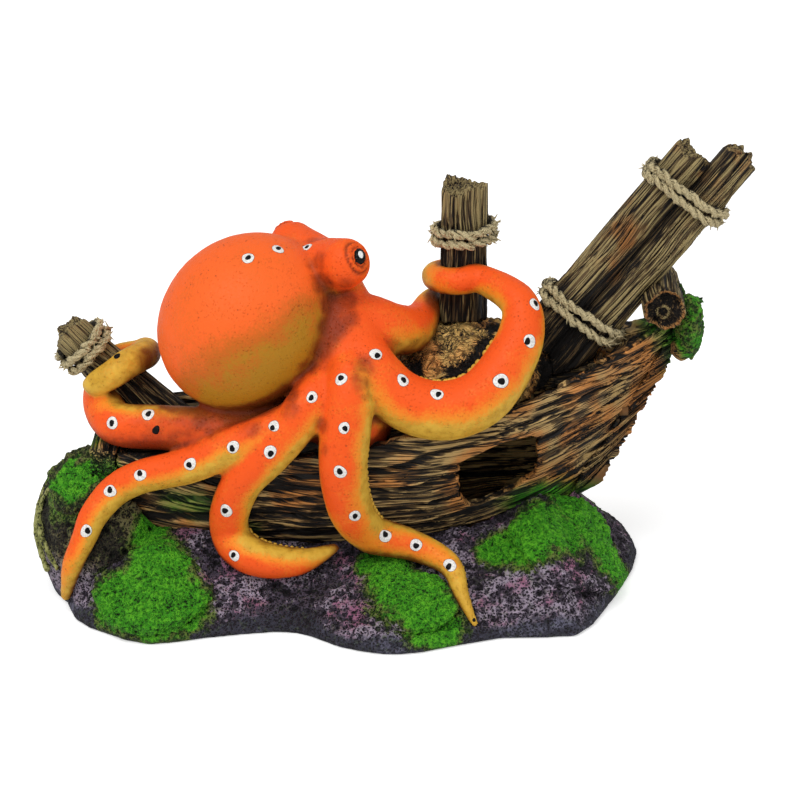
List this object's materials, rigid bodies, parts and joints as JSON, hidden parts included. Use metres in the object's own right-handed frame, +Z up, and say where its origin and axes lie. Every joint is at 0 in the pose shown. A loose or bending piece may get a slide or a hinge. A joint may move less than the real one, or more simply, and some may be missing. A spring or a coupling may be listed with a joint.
{
  "type": "aquarium ornament",
  "caption": "Cast resin aquarium ornament: an octopus sprawled over the broken hull of a wooden boat that lies on a mossy rock base.",
  "frame": {"origin": "on the flat underside of the rock base, at the middle of the base's outline", "axes": "+X along the boat, from the broken stern to the bow; +Y away from the viewer of the picture, towards the far side of the boat; +Z up, out of the rock"},
  "size_m": [0.1806, 0.0877, 0.1156],
  "materials": {
    "rock": "rough painted resin, grey and purple stone",
    "planks": "rough painted resin, weathered planks",
    "rubble": "rough painted resin, broken timber",
    "bark": "rough painted resin, fluted bark",
    "rope": "twisted twine",
    "octopus": "satin painted resin, orange to ochre",
    "eye": "gloss black paint",
    "moss": "rough painted resin, green moss",
    "vine": "rough painted resin, olive"
  },
  "bodies": {
    "root": {"rock_base": "rock", "stern_outcrop": "rock", "hull_near_side": "planks", "hull_far_side": "planks", "transom": "planks", "stem_post": "planks", "aft_deck": "planks", "foredeck": "planks", "timber_heap": "rubble", "middle_mast_stump": "bark", "stern_stump": "bark", "short_spar": "bark", "long_spar": "bark", "bow_log": "bark", "bow_knot": "bark", "middle_mast_lashing": "rope", "stern_stump_lashing": "rope", "upper_spar_lashing": "rope", "lower_spar_lashing": "rope", "octopus_mantle": "octopus", "octopus_head": "octopus", "near_eye": "eye", "far_eye": "eye", "arm_stern_coil": "octopus", "arm_long_left": "octopus", "arm_hook": "octopus", "arm_long_right": "octopus", "arm_mast_coil": "octopus", "arm_behind_mast": "octopus", "arm_back_left": "octopus", "arm_back_right": "octopus", "moss_front_left": "moss", "moss_front_middle": "moss", "moss_front_right": "moss", "moss_stern": "moss", "moss_bow": "moss", "moss_bow_back": "moss", "vines": "vine"}
  },
  "joints": []
}
